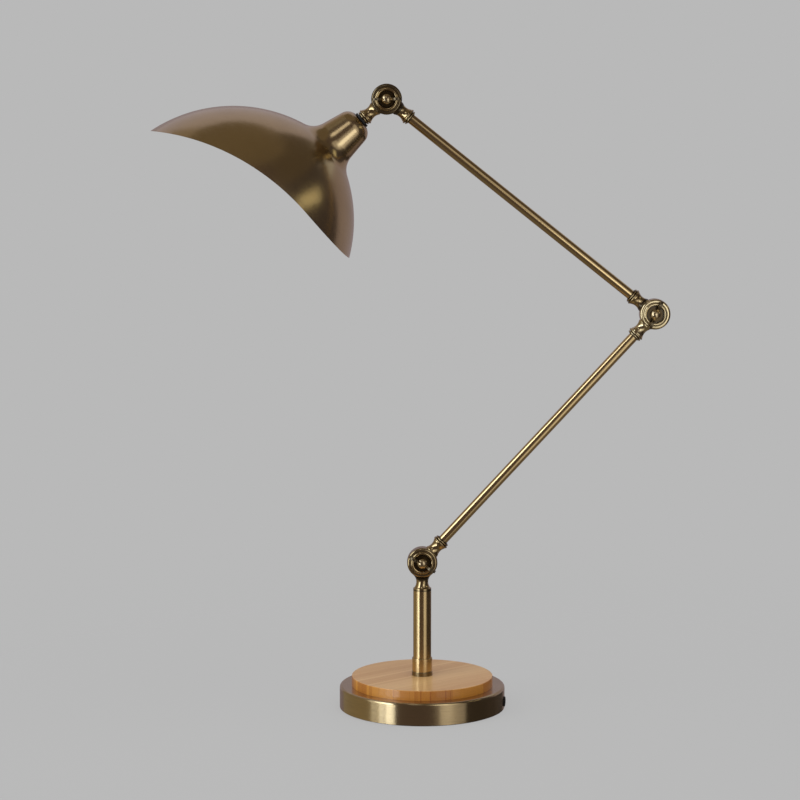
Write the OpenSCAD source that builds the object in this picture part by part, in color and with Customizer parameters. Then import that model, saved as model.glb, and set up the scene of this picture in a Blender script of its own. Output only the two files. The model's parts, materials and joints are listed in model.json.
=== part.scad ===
// Swing arm table lamp: a weighted round base under a wooden disc, a short stem,
// two equal arms on clamped knuckle joints, and a spun hood with a visor.
// Millimetres, +Z up. The origin is the centre of the base on the table.
// The arms move in the plane y = 0, and -Y is the front.

/* [Base] */
// Diameter of the metal base
base_d = 170; // [160:1:190]
// Height of the spun base shell
base_h = 22.5; // [20:0.5:24]
// Sheet thickness of the base shell
base_wall = 1.2; // [0.8:0.1:1.4]
// Rounding of the top edge of the base shell
base_edge = 2.4; // [2:0.1:4]
// Thickness of the felt pad under the base
pad_t = 1; // [0.5:0.1:2]
// Thickness of the closing plate
plate_t = 1.6; // [1.6:0.1:2]
// Diameter of the cast weight
ballast_d = 140; // [130:1:145]
// Diameter of the wooden disc
wood_d = 145; // [120:1:150]
// Thickness of the wooden disc
wood_t = 10; // [6:0.5:14]

/* [Cord inlet] */
// Height of the cord inlet above the table
inlet_z = 8.6; // [8.4:0.1:8.8]
// Turn of the cord inlet from +X towards the front, degrees
inlet_turn = 11; // [0:1:30]
// Bore of the rubber grommet
inlet_bore_d = 6.4; // [6:0.1:6.6]
// Flange diameter of the grommet
grommet_d = 10.4; // [10:0.1:11]
// Length of the grommet through the base wall
grommet_len = 8; // [6:0.5:9]

/* [Stem] */
// Height of the stem between the wooden disc and the lower knuckle
stem_h = 88; // [70:1:140]
// Outer diameter of the stem tube
stem_d = 18.5; // [18:0.1:20]
// Wall of the stem tube
stem_wall = 1.25; // [1:0.05:1.5]
// Height of the turned foot around the stem
foot_h = 18.5; // [14:0.5:24]
// Outer diameter of the turned foot
foot_d = 20.7; // [20.5:0.1:23]

/* [Arms] */
// Distance between the pivots at the two ends of an arm
arm_pitch = 347; // [250:1:400]
// Outer diameter of the arm tubes
arm_tube_d = 10; // [9.6:0.1:10]
// Wall of the arm tubes
arm_tube_wall = 1; // [0.8:0.1:1]
// Lower arm, degrees above the horizontal
lower_angle = 47.3; // [40:0.1:70]
// Upper arm, degrees from +X
upper_angle = 141.5; // [130:0.1:150]
// Axis of the hood, degrees from +X
head_angle = 219.5; // [200:0.5:240]

/* [Knuckles] */
// Diameter of a knuckle disc
knuckle_d = 31; // [30:0.5:33]
// Thickness of each half of a knuckle
half_t = 7.1; // [7:0.1:8]
// Friction washer between the two halves
friction_t = 0.8; // [0.6:0.1:1.2]
// Length of a neck from the pivot to the end of its collar
neck_len = 31.5; // [31.5:0.1:33]
// Radius of an arm neck at its waist
waist_r = 5.8; // [5.8:0.1:6.2]
// Radius of the clamping screws
screw_r = 2.5; // [2.4:0.1:2.6]
// Thickness of the ears of a wing screw
ear_t = 2.4; // [1.6:0.1:2.6]
// Rest angles of the wing screws: lower, elbow, head
wing_angles = [-31, 66, 1];

/* [Hood] */
// Sheet thickness of the hood
hood_wall = 0.8; // [0.8:0.1:1.2]
// Rubber washer between the collar and the hood
hood_washer_t = 1.8; // [1:0.1:2]
// Radius of the flat top of the hood
cap_flat_r = 6.1; // [6:0.1:7]
// Shoulder radius at the top of the hood
shoulder_r = 12.3; // [12:0.1:13]
// Flare of the hood's neck, degrees
neck_flare = 10.2; // [9:0.1:12]
// Radius of the crook where the neck meets the dome
crook_r = 20; // [14:0.5:26]
// Radius of the dome's arc
dome_r = 150.3; // [148:0.1:152]
// Distance of the dome's arc centre beyond the axis
dome_beyond = 23.1; // [22:0.1:24]
// Distance of the dome's arc centre from the head pivot
dome_t = 218.5; // [217:0.1:220]
// Distance of the straight part of the rim from the head pivot
rim_t = 130.3; // [128:0.1:134]
// Radius of the sweep that cuts the visor
visor_r = 220; // [210:1:230]
// Where the visor's sweep begins, measured across the axis
visor_start = 37; // [34:1:40]

/* [Lampholder and bulb] */
// Outer diameter of the lampholder
holder_d = 32; // [31:0.1:32]
// Distance of the lampholder's mouth from the head pivot
holder_mouth_t = 76; // [75:0.5:78]
// Outer diameter of the bulb's screw base
bulb_base_d = 26.2; // [26:0.1:26.4]
// Diameter of the bulb's globe
globe_d = 45; // [40:1:46]
// Distance of the far end of the bulb from the head pivot
bulb_end_t = 128; // [124:0.5:129]

/* [Hidden] */
$fn = 96;

// Overshoot that lets a cut pass clean through a face
cut = 1;
// Radial clearance of turned, threaded and pushed fits
fit = 0.05;
// Clearance of loose holes and pockets
loose = 0.15;
// Clearance of a piece that only has to drop in
drop_in = 0.3;

// Base levels, from the table up
base_r = base_d / 2;
shell_top = pad_t + base_h;
shell_under = shell_top - base_wall;
plate_top = pad_t + plate_t;
ballast_t = shell_under - plate_top;
plate_r = base_r - base_wall - drop_in;
pad_r = plate_r - 1;
wood_top = shell_top + wood_t;
wood_edge = 0.8;

// Plate screws in the underside of the weight
plate_screw_count = 3;
plate_screw_ring = 52;
plate_screw_turn = 60;
plate_screw_r = 1.5;
plate_screw_len = 8;
plate_screw_head_r = plate_screw_r + plate_t;

// Threaded tube, nut and washer that clamp the base together
thread_r = 5;
thread_bore_r = 4;
pocket_r = 14;
pocket_roof = 3.6;
pocket_top = shell_under - pocket_roof;
channel_w = 13;
channel_room = 3.6;
channel_top = inlet_z + channel_room;
stem_washer_t = 1.2;
stem_washer_r = 10;
stem_nut_t = 3.5;
stem_nut_across = 14;
nipple_tip = 0.4;
nipple_z = pocket_top - stem_washer_t - stem_nut_t - nipple_tip;
foot_floor = 5;
foot_edge = 0.7;
foot_ring_h = 4;
foot_ring_r = foot_d / 2 + 0.3;
foot_ring_edge = 0.6;
foot_groove = 0.5;
foot_groove_at_r = foot_d / 2 + 0.1;

// Stem tube and its knuckle
stem_r = stem_d / 2;
stem_bore_r = stem_r - stem_wall;
stem_z = wood_top + foot_floor;
stem_top = wood_top + stem_h;
flange_t = 3;
flange_step = 0.6;
stem_neck_len = 30;
stem_waist_r = 6.1;
plug_len = 12;
pivot_z = stem_top + stem_neck_len;

// Knuckle halves
knuckle_r = knuckle_d / 2;
knuckle_edge = 2.4;
relief_r = knuckle_r + 0.8;
neck_start = 9.5;
waist_t = 20.5;
waist_arc = 9.7;
neck_body_r = 7.3;
neck_end_r = 6.2;
neck_tip_r = 5.8;
bead_r = 1.1;
bead_at_r = 7.2;
bead_t = 27.6;
end_bead_r = 0.9;
end_bead_t = 29.9;
end_bead_at_r = 6.7;
face_bead_r = 1.6;
face_bead_at_r = 10.1;
face_groove_r = 0.4;
face_groove_at_r = 12.1;
face_groove_lift = 0.2;
recess_r = 8.4;
recess_floor = half_t - 1.6;
chamber_r = 11.4;
chamber_h = 3.6;
pivot_boss_r = 5.2;
pivot_bore_r = screw_r + fit;
socket_len = 8;
socket_t = neck_len - socket_len;
socket_r = arm_tube_d / 2 + fit;
friction_in_r = chamber_r + 0.4;
friction_out_r = knuckle_r - knuckle_edge / 4;

// Twin leads beside the arm axis
lead_r = 0.9;
lead_pitch = 1.9;
lead_y = 2.6;
lead_bore_r = 2;
lead_start_t = 8;
lead_bend = 4;
lead_stop = 1.5;

// Grommet, measured outwards from the shell along the run of the leads
inlet_run = lead_y * sin(inlet_turn) + sqrt(pow(base_r, 2) - pow(lead_y * cos(inlet_turn), 2));
grommet_lip = 0.9;
grommet_edge = 0.4;
grommet_inner_lip = 1.6;
grommet_inner_r = grommet_d / 2 - 0.6;
grommet_neck_r = grommet_d / 2 - 1.2;
grommet_in = loose + grommet_lip - grommet_len;

// Clamping screws and nuts
nut_across = 8;
nut_t = 4;
nut_floor = recess_floor - 2;
hub_washer_t = 1;
hub_washer_r = 7.6;
hub_z = recess_floor + hub_washer_t;
hub_r = 4.9;
hub_h = 4.6;
hub_dome_r = 6;
hub_dome_drop = 3.3;
screw_tip = -(friction_t + nut_floor + nut_t + 0.8);
ear_r = 5;
ear_at_r = 10.4;
ear_z = 14.3;
ear_root_r = hub_r - 1.4;
ear_root_z = hub_z + 1.6;
ear_web_r = ear_r - 0.1;
ear_top_a = 129;
ear_under_a = -80;

// Pivots
function along(a) = [cos(a), 0, sin(a)];
lower_pivot = [0, 0, pivot_z];
elbow_pivot = lower_pivot + arm_pitch * along(lower_angle);
head_pivot = elbow_pivot + arm_pitch * along(upper_angle);

// Hood profile as [radius, distance from the head pivot]
cap_t = neck_len + hood_washer_t;
shoulder_c = [cap_flat_r, cap_t + shoulder_r];
cone_normal = [cos(neck_flare), -sin(neck_flare)];
cone_along = [sin(neck_flare), cos(neck_flare)];
dome_c = [-dome_beyond, dome_t];
crook_from = shoulder_c + (shoulder_r + crook_r) * cone_normal;
crook_rel = crook_from - dome_c;
crook_b = crook_rel * cone_along;
crook_q = crook_rel * crook_rel - pow(dome_r + crook_r, 2);
crook_c = crook_from - (crook_b + sqrt(crook_b * crook_b - crook_q)) * cone_along;
crook_dome = (crook_c - dome_c) / norm(crook_c - dome_c);
hood_end_t = dome_t - 5;
hood_half_w = 140;
hood_hole_r = thread_r + 0.2;

// Lampholder, along the axis of the hood
holder_r = holder_d / 2;
holder_top_t = cap_t + hood_wall;
holder_gap = 0.7;
holder_split_t = 50;
holder_wall = 1.6;
holder_hub_r = 7.4;
cap_wall = 2;
cap_seat_r = cap_flat_r - 0.2;
insert_t = 4;
insert_r = holder_r - holder_wall - fit;
shell_wall = 0.5;
shell_out_r = insert_r;
shell_z = holder_split_t + insert_t;
shell_mouth_gap = 1;
terminal_r = 1.6;
terminal_at_r = 9;
head_nipple_end = 44;
contact_r = 3.2;
contact_t = 1.5;

// Bulb
bulb_base_r = bulb_base_d / 2;
bulb_base_edge = 0.4;
globe_r = globe_d / 2;
globe_c = bulb_end_t - globe_r;
bulb_contact_t = shell_z + contact_t;
bulb_contact_r = 4.6;
bulb_insulator_t = 4;
bulb_base_end = 80;
bulb_neck_r = bulb_base_r - 0.6;
bulb_neck_arc = 14;
glass_t = 0.8;
globe_neck_r = bulb_neck_r + bulb_neck_arc;
globe_neck_c = [globe_neck_r, globe_c - sqrt(pow(globe_r + bulb_neck_arc, 2) - pow(globe_neck_r, 2))];

// Shared shapes

module at(pivot, angle) {
    translate(pivot) rotate([0, -angle, 0]) children();
}

module on_side(side) {
    translate([0, side * friction_t / 2, 0]) rotate([-90 * side, 0, 0]) children();
}

module along_x() {
    rotate([0, 90, 0]) children();
}

module ring(r_in, r_out, h) {
    difference() {
        cylinder(h = h, r = r_out);
        translate([0, 0, -cut]) cylinder(h = h + 2 * cut, r = r_in);
    }
}

module hex(across, h) {
    cylinder(h = h, r = across / 2 / cos(30), $fn = 6);
}

module hex_nut(across, h, bore_r) {
    difference() {
        hex(across, h);
        translate([0, 0, -cut]) cylinder(h = h + 2 * cut, r = bore_r);
    }
}

module rounded_section(r, h, edge) {
    square([r - edge, h]);
    square([r, h - edge]);
    translate([r - edge, h - edge]) circle(edge);
}

module right_half(r, from, to) {
    intersection() {
        translate([0, from]) square([r, to - from]);
        children();
    }
}

module around_plate_screws() {
    for (i = [0 : plate_screw_count - 1])
        rotate([0, 0, plate_screw_turn + i * 360 / plate_screw_count])
            translate([plate_screw_ring, 0, 0]) children();
}

module plate_screw(gap) {
    translate([0, 0, pad_t])
        cylinder(h = plate_t, r1 = plate_screw_head_r + gap, r2 = plate_screw_r + gap);
    translate([0, 0, pad_t]) cylinder(h = plate_screw_len, r = plate_screw_r + gap);
}

// Along the run of the leads in the base, from the axis of the lead pair to the cord inlet
module at_inlet() {
    translate([0, lead_y, 0]) rotate([0, 0, -inlet_turn]) children();
}

// Two insulated cores side by side, from one distance along +X to another
module lead_pair(side, from, to) {
    for (s = [-1, 1])
        translate([from, side * lead_y, s * lead_pitch / 2])
            along_x() cylinder(h = to - from, r = lead_r, $fn = 24);
}

// Knuckle halves: pivot axis along Y, neck along +X

module disc_section() {
    difference() {
        union() {
            rounded_section(knuckle_r, half_t, knuckle_edge);
            translate([face_bead_at_r, half_t]) circle(face_bead_r);
        }
        translate([face_groove_at_r, half_t + face_groove_lift]) circle(face_groove_r);
        translate([-cut, recess_floor]) square([recess_r + cut, half_t]);
    }
}

module arm_neck_section() {
    difference() {
        translate([0, neck_start]) square([neck_body_r, bead_t - neck_start]);
        translate([waist_r + waist_arc, waist_t]) circle(waist_arc);
    }
    translate([bead_at_r, bead_t]) circle(bead_r);
    translate([0, bead_t]) square([neck_end_r, neck_len - bead_t - end_bead_r / 2]);
    translate([end_bead_at_r, end_bead_t]) circle(end_bead_r);
    translate([0, bead_t]) square([neck_tip_r, neck_len - bead_t]);
}

module stem_neck_section() {
    flange_from = stem_neck_len - flange_t;
    difference() {
        translate([0, neck_start]) square([stem_r - flange_step, flange_from - neck_start]);
        translate([stem_waist_r + waist_arc, waist_t]) circle(waist_arc);
    }
    translate([0, flange_from]) square([stem_r, flange_t]);
    translate([0, flange_from]) square([stem_bore_r - fit, flange_t + plug_len]);
}

// The cuts that every half shares: relief for the other half, lead chamber, pivot and lead bores
module half_cuts(side, lead_end) {
    on_side(side) translate([0, 0, -2 * knuckle_r]) cylinder(h = 2 * knuckle_r, r = relief_r);
    on_side(side) translate([0, 0, -cut]) ring(pivot_boss_r, chamber_r, chamber_h + cut);
    on_side(side) translate([0, 0, -cut]) cylinder(h = half_t + 2 * cut, r = pivot_bore_r);
    translate([lead_start_t, side * lead_y, 0])
        along_x() cylinder(h = lead_end - lead_start_t, r = lead_bore_r);
}

module nut_pocket() {
    on_side(1) translate([0, 0, nut_floor]) hex(nut_across + 2 * loose, half_t);
}

module arm_half(side) {
    difference() {
        union() {
            on_side(side) rotate_extrude() disc_section();
            along_x() rotate_extrude() arm_neck_section();
        }
        half_cuts(side, socket_t + cut);
        translate([socket_t, 0, 0]) along_x() cylinder(h = socket_len + cut, r = socket_r);
        if (side > 0) nut_pocket();
    }
}

module stem_half() {
    difference() {
        union() {
            on_side(1) rotate_extrude() disc_section();
            along_x() rotate_extrude() stem_neck_section();
        }
        half_cuts(1, stem_neck_len + plug_len + cut);
        nut_pocket();
    }
}

module friction_washer() {
    color("darkslategray")
        on_side(1) translate([0, 0, -friction_t]) ring(friction_in_r, friction_out_r, friction_t);
}

module hub_washer() {
    color("goldenrod")
        on_side(-1) translate([0, 0, recess_floor]) ring(screw_r + loose, hub_washer_r, hub_washer_t);
}

module pivot_nut() {
    color("goldenrod")
        on_side(1) translate([0, 0, nut_floor]) hex_nut(nut_across, nut_t, screw_r + fit);
}

// One ear in section: a round grip on a web that rises from the side of the hub, below its dome
module ear_section() {
    grip = [ear_at_r, ear_z];
    translate(grip) circle(ear_r);
    polygon([
        [ear_root_r, ear_root_z],
        [ear_root_r, hub_z + hub_h],
        grip + ear_web_r * [cos(ear_top_a), sin(ear_top_a)],
        grip + ear_web_r * [cos(ear_under_a), sin(ear_under_a)]
    ]);
}

module wing_screw(angle) {
    color("goldenrod") on_side(-1) rotate([0, 0, angle]) {
        translate([0, 0, screw_tip]) cylinder(h = hub_z - screw_tip + cut, r = screw_r);
        rotate_extrude() {
            translate([0, hub_z]) square([hub_r, hub_h]);
            right_half(hub_r, hub_z, hub_z + 2 * hub_dome_r)
                translate([0, hub_z + hub_h - hub_dome_drop]) circle(hub_dome_r);
        }
        for (turn = [0, 180])
            rotate([0, 0, turn]) rotate([90, 0, 0])
                linear_extrude(height = ear_t, center = true) ear_section();
    }
}

module arm_tube() {
    color("darkgoldenrod") translate([socket_t, 0, 0]) along_x()
        ring(arm_tube_d / 2 - arm_tube_wall, arm_tube_d / 2, arm_pitch - 2 * socket_t);
}

module arm_leads(side) {
    color("saddlebrown") lead_pair(side, lead_start_t, arm_pitch - lead_start_t);
}

// Base

module base_pad() {
    color("black") cylinder(h = pad_t, r = pad_r);
}

module base_plate() {
    color("dimgray") difference() {
        translate([0, 0, pad_t]) cylinder(h = plate_t, r = plate_r);
        around_plate_screws() translate([0, 0, -loose]) plate_screw(loose);
    }
}

module base_screws() {
    color("silver") around_plate_screws() plate_screw(0);
}

// Cast weight with a pocket for the nut and a channel for the leads
module ballast_weight() {
    color("dimgray") difference() {
        translate([0, 0, plate_top]) cylinder(h = ballast_t, r = ballast_d / 2);
        cylinder(h = pocket_top, r = pocket_r);
        at_inlet() translate([0, -channel_w / 2, 0]) cube([ballast_d, channel_w, channel_top]);
        cylinder(h = shell_top, r = thread_r + loose);
        around_plate_screws() translate([0, 0, plate_top - cut])
            cylinder(h = plate_screw_len + cut, r = plate_screw_r + fit);
    }
}

module base_shell() {
    color("darkgoldenrod") difference() {
        translate([0, 0, pad_t]) rotate_extrude() difference() {
            rounded_section(base_r, base_h, base_edge);
            translate([0, -cut])
                rounded_section(base_r - base_wall, base_h - base_wall + cut, base_edge - base_wall);
            translate([-cut, 0]) square([thread_r + loose + cut, base_h + cut]);
        }
        at_inlet() translate([base_r / 2, 0, inlet_z])
            along_x() cylinder(h = base_r, r = grommet_neck_r + fit);
    }
}

// Rubber grommet with a groove that holds it in the wall of the shell
module cord_grommet() {
    inner_face = -base_wall - drop_in;
    color("black") at_inlet() translate([inlet_run, 0, inlet_z]) along_x() difference() {
        union() {
            translate([0, 0, loose]) rotate_extrude()
                rounded_section(grommet_d / 2, grommet_lip, grommet_edge);
            translate([0, 0, grommet_in]) cylinder(h = grommet_len - grommet_edge, r = grommet_neck_r);
            translate([0, 0, inner_face - grommet_inner_lip])
                cylinder(h = grommet_inner_lip, r = grommet_inner_r);
        }
        translate([0, 0, -grommet_len]) cylinder(h = 2 * grommet_len, r = inlet_bore_d / 2);
    }
}

module wood_disc() {
    color("burlywood") translate([0, 0, shell_top]) difference() {
        rotate_extrude() rounded_section(wood_d / 2, wood_t, wood_edge);
        translate([0, 0, -cut]) cylinder(h = wood_t + 2 * cut, r = thread_r + loose);
    }
}

// Stem

module stem_nipple() {
    color("gray") translate([0, 0, nipple_z]) ring(thread_bore_r, thread_r, stem_z - nipple_z);
}

module stem_washer() {
    color("silver") translate([0, 0, pocket_top - stem_washer_t])
        ring(thread_r + loose, stem_washer_r, stem_washer_t);
}

module stem_nut() {
    color("silver") translate([0, 0, pocket_top - stem_washer_t - stem_nut_t])
        hex_nut(stem_nut_across, stem_nut_t, thread_r + fit);
}

module stem_foot() {
    color("darkgoldenrod") translate([0, 0, wood_top]) rotate_extrude() difference() {
        union() {
            rounded_section(foot_d / 2, foot_h, foot_edge);
            rounded_section(foot_ring_r, foot_ring_h, foot_ring_edge);
        }
        translate([foot_groove_at_r, foot_ring_h + foot_groove]) circle(foot_groove);
        translate([-cut, foot_floor]) square([stem_r + fit + cut, foot_h]);
        translate([-cut, -cut]) square([thread_r + fit + cut, foot_h]);
    }
}

module stem_tube() {
    color("darkgoldenrod") translate([0, 0, stem_z]) ring(stem_bore_r, stem_r, stem_top - stem_z);
}

module stem_knuckle() {
    color("goldenrod") at(lower_pivot, -90) stem_half();
}

// The leads drop through the stem, turn under the weight and stop short of the grommet
module stem_leads() {
    run_end = inlet_run + grommet_in - lead_stop;
    color("saddlebrown") at_inlet() for (s = [-1, 1]) {
        bend = lead_bend - s * lead_pitch / 2;
        bend_z = inlet_z + s * lead_pitch / 2 + bend;
        translate([lead_bend - bend, 0, bend_z])
            cylinder(h = pivot_z - lead_start_t - bend_z, r = lead_r, $fn = 24);
        translate([lead_bend, 0, bend_z]) rotate([90, 0, 0]) rotate([0, 0, 180])
            rotate_extrude(angle = 90) translate([bend, 0]) circle(lead_r, $fn = 24);
        translate([lead_bend, 0, bend_z - bend])
            along_x() cylinder(h = run_end - lead_bend, r = lead_r, $fn = 24);
    }
}

module pivot_nut_lower() {
    at(lower_pivot, -90) pivot_nut();
}

module friction_washer_lower() {
    translate(lower_pivot) friction_washer();
}

// Lower arm

module lower_arm_foot_knuckle() {
    color("goldenrod") at(lower_pivot, lower_angle) arm_half(-1);
}

module lower_arm_tube() {
    at(lower_pivot, lower_angle) arm_tube();
}

module lower_arm_elbow_knuckle() {
    color("goldenrod") at(elbow_pivot, lower_angle + 180) arm_half(-1);
}

module lower_arm_leads() {
    at(lower_pivot, lower_angle) arm_leads(-1);
}

module hub_washer_lower() {
    translate(lower_pivot) hub_washer();
}

module hub_washer_elbow() {
    translate(elbow_pivot) hub_washer();
}

// Upper arm

module upper_arm_elbow_knuckle() {
    color("goldenrod") at(elbow_pivot, upper_angle) arm_half(1);
}

module upper_arm_tube() {
    at(elbow_pivot, upper_angle) arm_tube();
}

module upper_arm_head_knuckle() {
    color("goldenrod") at(head_pivot, upper_angle + 180) arm_half(1);
}

module upper_arm_leads() {
    at(elbow_pivot, upper_angle) arm_leads(1);
}

module pivot_nut_elbow() {
    at(elbow_pivot, upper_angle) pivot_nut();
}

module pivot_nut_head() {
    at(head_pivot, upper_angle + 180) pivot_nut();
}

module friction_washer_elbow() {
    translate(elbow_pivot) friction_washer();
}

module friction_washer_head() {
    translate(head_pivot) friction_washer();
}

// Head

module in_head() {
    at(head_pivot, head_angle) children();
}

module turned_in_head() {
    in_head() along_x() rotate_extrude() children();
}

module head_knuckle() {
    color("goldenrod") in_head() arm_half(-1);
}

module hub_washer_head() {
    translate(head_pivot) hub_washer();
}

module hood_washer() {
    color("black") in_head() translate([neck_len, 0, 0]) along_x()
        ring(hood_hole_r, neck_body_r + bead_r, hood_washer_t);
}

// Outline of the hood, set in from the outer face: flat top, shoulder, flared neck, crook and dome
module hood_outline(inset) {
    cone_at = shoulder_c + (shoulder_r - inset) * cone_normal;
    crook_cone = crook_c - (crook_r + inset) * cone_normal;
    crook_at = dome_c + (dome_r - inset) * crook_dome;
    top = cap_t + inset;
    right_half(hood_half_w, top, hood_end_t) {
        union() {
            translate(shoulder_c) circle(shoulder_r - inset);
            polygon([[0, top], [cap_flat_r, top], shoulder_c, cone_at, crook_cone, [0, crook_cone[1]]]);
            difference() {
                polygon([[0, cone_at[1]], crook_cone, crook_c, crook_at, [0, crook_at[1] + cut]]);
                translate(crook_c) circle(crook_r + inset);
            }
            translate(dome_c) circle(dome_r - inset, $fn = 360);
        }
    }
}

// The rim is square to the axis on the lower side and sweeps forward into a visor on the upper side
module visor_cut() {
    rotate([90, 0, 0]) linear_extrude(height = 2 * hood_half_w, center = true) {
        translate([rim_t + visor_r, visor_start]) circle(visor_r, $fn = 360);
        translate([rim_t, visor_start]) square([visor_r, visor_r]);
    }
}

module hood() {
    color("peru") in_head() difference() {
        along_x() rotate_extrude($fn = 180) difference() {
            hood_outline(0);
            hood_outline(hood_wall);
            translate([-cut, cap_t - cut]) square([hood_hole_r + cut, hood_wall + 2 * cut]);
            translate([0, hood_end_t - cut]) square([dome_r - dome_beyond - hood_wall, 2 * cut]);
        }
        visor_cut();
    }
}

module head_nipple() {
    color("gray") in_head() translate([socket_t, 0, 0]) along_x()
        ring(thread_bore_r, thread_r, head_nipple_end - socket_t);
}

module head_leads() {
    color("saddlebrown") in_head() lead_pair(-1, lead_start_t, holder_split_t);
}

// Domed cap that screws onto the threaded tube and clamps the hood
module lampholder_cap() {
    color("black") turned_in_head() difference() {
        union() {
            difference() {
                right_half(holder_r, holder_top_t, holder_split_t) hood_outline(hood_wall + holder_gap);
                right_half(holder_r - cap_wall, holder_top_t, holder_split_t + cut)
                    hood_outline(hood_wall + holder_gap + cap_wall);
            }
            translate([0, holder_top_t]) square([cap_seat_r, holder_gap + cap_wall]);
            translate([0, holder_top_t + cap_wall])
                square([holder_hub_r, head_nipple_end - holder_top_t - cap_wall]);
        }
        translate([-cut, 0]) square([thread_r + fit + cut, holder_split_t]);
    }
}

module lampholder_body() {
    color("black") turned_in_head() translate([holder_r - holder_wall, holder_split_t])
        square([holder_wall, holder_mouth_t - holder_split_t]);
}

module lampholder_insert() {
    color("white") in_head() translate([holder_split_t, 0, 0]) along_x() difference() {
        cylinder(h = insert_t, r = insert_r);
        for (s = [-1, 1])
            translate([s * terminal_at_r, 0, -cut]) cylinder(h = insert_t + 2 * cut, r = terminal_r);
    }
}

module screw_shell() {
    color("goldenrod") in_head() translate([shell_z, 0, 0]) along_x()
        ring(shell_out_r - shell_wall, shell_out_r, holder_mouth_t - shell_z - shell_mouth_gap);
}

module centre_contact() {
    color("goldenrod") in_head() translate([shell_z, 0, 0]) along_x() cylinder(h = contact_t, r = contact_r);
}

module bulb_base() {
    shoulder_t = bulb_contact_t + bulb_insulator_t;
    color("silver") turned_in_head() {
        translate([0, bulb_contact_t]) square([bulb_contact_r, bulb_insulator_t + cut]);
        translate([0, shoulder_t]) rounded_section(bulb_base_r, bulb_base_end - shoulder_t, bulb_base_edge);
    }
}

// Outline of the globe and its waisted neck, set in from the outer face
module globe_outline(inset) {
    right_half(globe_r, 0, bulb_end_t + cut) translate([0, globe_c]) circle(globe_r - inset);
    translate([0, bulb_base_end - inset])
        square([bulb_neck_r - inset, globe_neck_c[1] - bulb_base_end + cut]);
    difference() {
        polygon([
            [0, globe_neck_c[1] - inset],
            globe_neck_c - [bulb_neck_arc, inset],
            globe_neck_c,
            [0, globe_c]
        ]);
        translate(globe_neck_c) circle(bulb_neck_arc + inset);
    }
}

module bulb_globe() {
    color("white") turned_in_head() difference() {
        globe_outline(0);
        globe_outline(glass_t);
    }
}

// Clamping screws

module wing_screw_lower() {
    translate(lower_pivot) wing_screw(wing_angles[0]);
}

module wing_screw_elbow() {
    translate(elbow_pivot) wing_screw(wing_angles[1]);
}

module wing_screw_head() {
    translate(head_pivot) wing_screw(wing_angles[2]);
}

base_pad();
base_plate();
base_screws();
ballast_weight();
base_shell();
cord_grommet();
wood_disc();
stem_nipple();
stem_washer();
stem_nut();
stem_foot();
stem_tube();
stem_knuckle();
stem_leads();
pivot_nut_lower();
friction_washer_lower();
lower_arm_foot_knuckle();
lower_arm_tube();
lower_arm_elbow_knuckle();
lower_arm_leads();
hub_washer_lower();
hub_washer_elbow();
upper_arm_elbow_knuckle();
upper_arm_tube();
upper_arm_head_knuckle();
upper_arm_leads();
pivot_nut_elbow();
pivot_nut_head();
friction_washer_elbow();
friction_washer_head();
head_knuckle();
hub_washer_head();
hood_washer();
hood();
head_nipple();
head_leads();
lampholder_cap();
lampholder_body();
lampholder_insert();
screw_shell();
centre_contact();
bulb_base();
bulb_globe();
wing_screw_lower();
wing_screw_elbow();
wing_screw_head();
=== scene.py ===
"""Looks of a swing arm table lamp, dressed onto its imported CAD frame.

The metal and wood pieces that show are merged copies of their CAD nodes, mapped round their turning axes. The
other nodes keep their own mesh and get a finish, and two small details are grown from the frame's own sizes.
"""

import json
import logging
import math
from dataclasses import dataclass, field, replace
from enum import Enum
from typing import Any, Callable, Iterable, Sequence

import bpy
import numpy as np
from bpy.types import ID, Material, Mesh, Node, NodeOutputs, NodeSocket, NodeTree, Object
from mathutils import Matrix, Quaternion, Vector

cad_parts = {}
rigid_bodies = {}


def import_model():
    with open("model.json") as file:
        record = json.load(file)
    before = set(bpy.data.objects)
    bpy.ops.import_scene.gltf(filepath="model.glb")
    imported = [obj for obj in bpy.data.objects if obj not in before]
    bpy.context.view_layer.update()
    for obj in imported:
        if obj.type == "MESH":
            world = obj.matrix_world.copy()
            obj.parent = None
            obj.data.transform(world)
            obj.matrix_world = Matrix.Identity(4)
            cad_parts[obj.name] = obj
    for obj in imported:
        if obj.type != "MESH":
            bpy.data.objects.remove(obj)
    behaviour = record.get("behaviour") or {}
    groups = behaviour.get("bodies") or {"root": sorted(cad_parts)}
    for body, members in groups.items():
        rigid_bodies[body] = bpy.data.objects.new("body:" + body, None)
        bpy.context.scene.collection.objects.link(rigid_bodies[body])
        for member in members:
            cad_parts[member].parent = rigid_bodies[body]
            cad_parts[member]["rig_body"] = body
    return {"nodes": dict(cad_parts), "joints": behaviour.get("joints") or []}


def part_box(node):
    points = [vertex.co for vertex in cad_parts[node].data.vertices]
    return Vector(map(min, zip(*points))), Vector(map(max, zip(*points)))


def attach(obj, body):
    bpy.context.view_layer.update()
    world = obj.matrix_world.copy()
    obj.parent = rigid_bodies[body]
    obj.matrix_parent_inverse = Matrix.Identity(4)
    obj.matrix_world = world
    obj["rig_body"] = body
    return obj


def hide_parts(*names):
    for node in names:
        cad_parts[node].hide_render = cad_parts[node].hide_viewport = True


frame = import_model()

LOG = logging.getLogger("lamp")
MM = 0.001
# Map round a turned piece, and note of where its vertices lie on it
WRAP = "wrap"
TURNED = "turned"
# Vertices of a CAD node that are closer than this become one
MERGE_MM = 0.001
# Factor that keeps the part of a place that lies across the Z axis
ACROSS_Z = (1.0, 1.0, 0.0)
# Turn of the stretched highlights, as a share of a whole turn
QUARTER_TURN = 0.25
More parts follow.
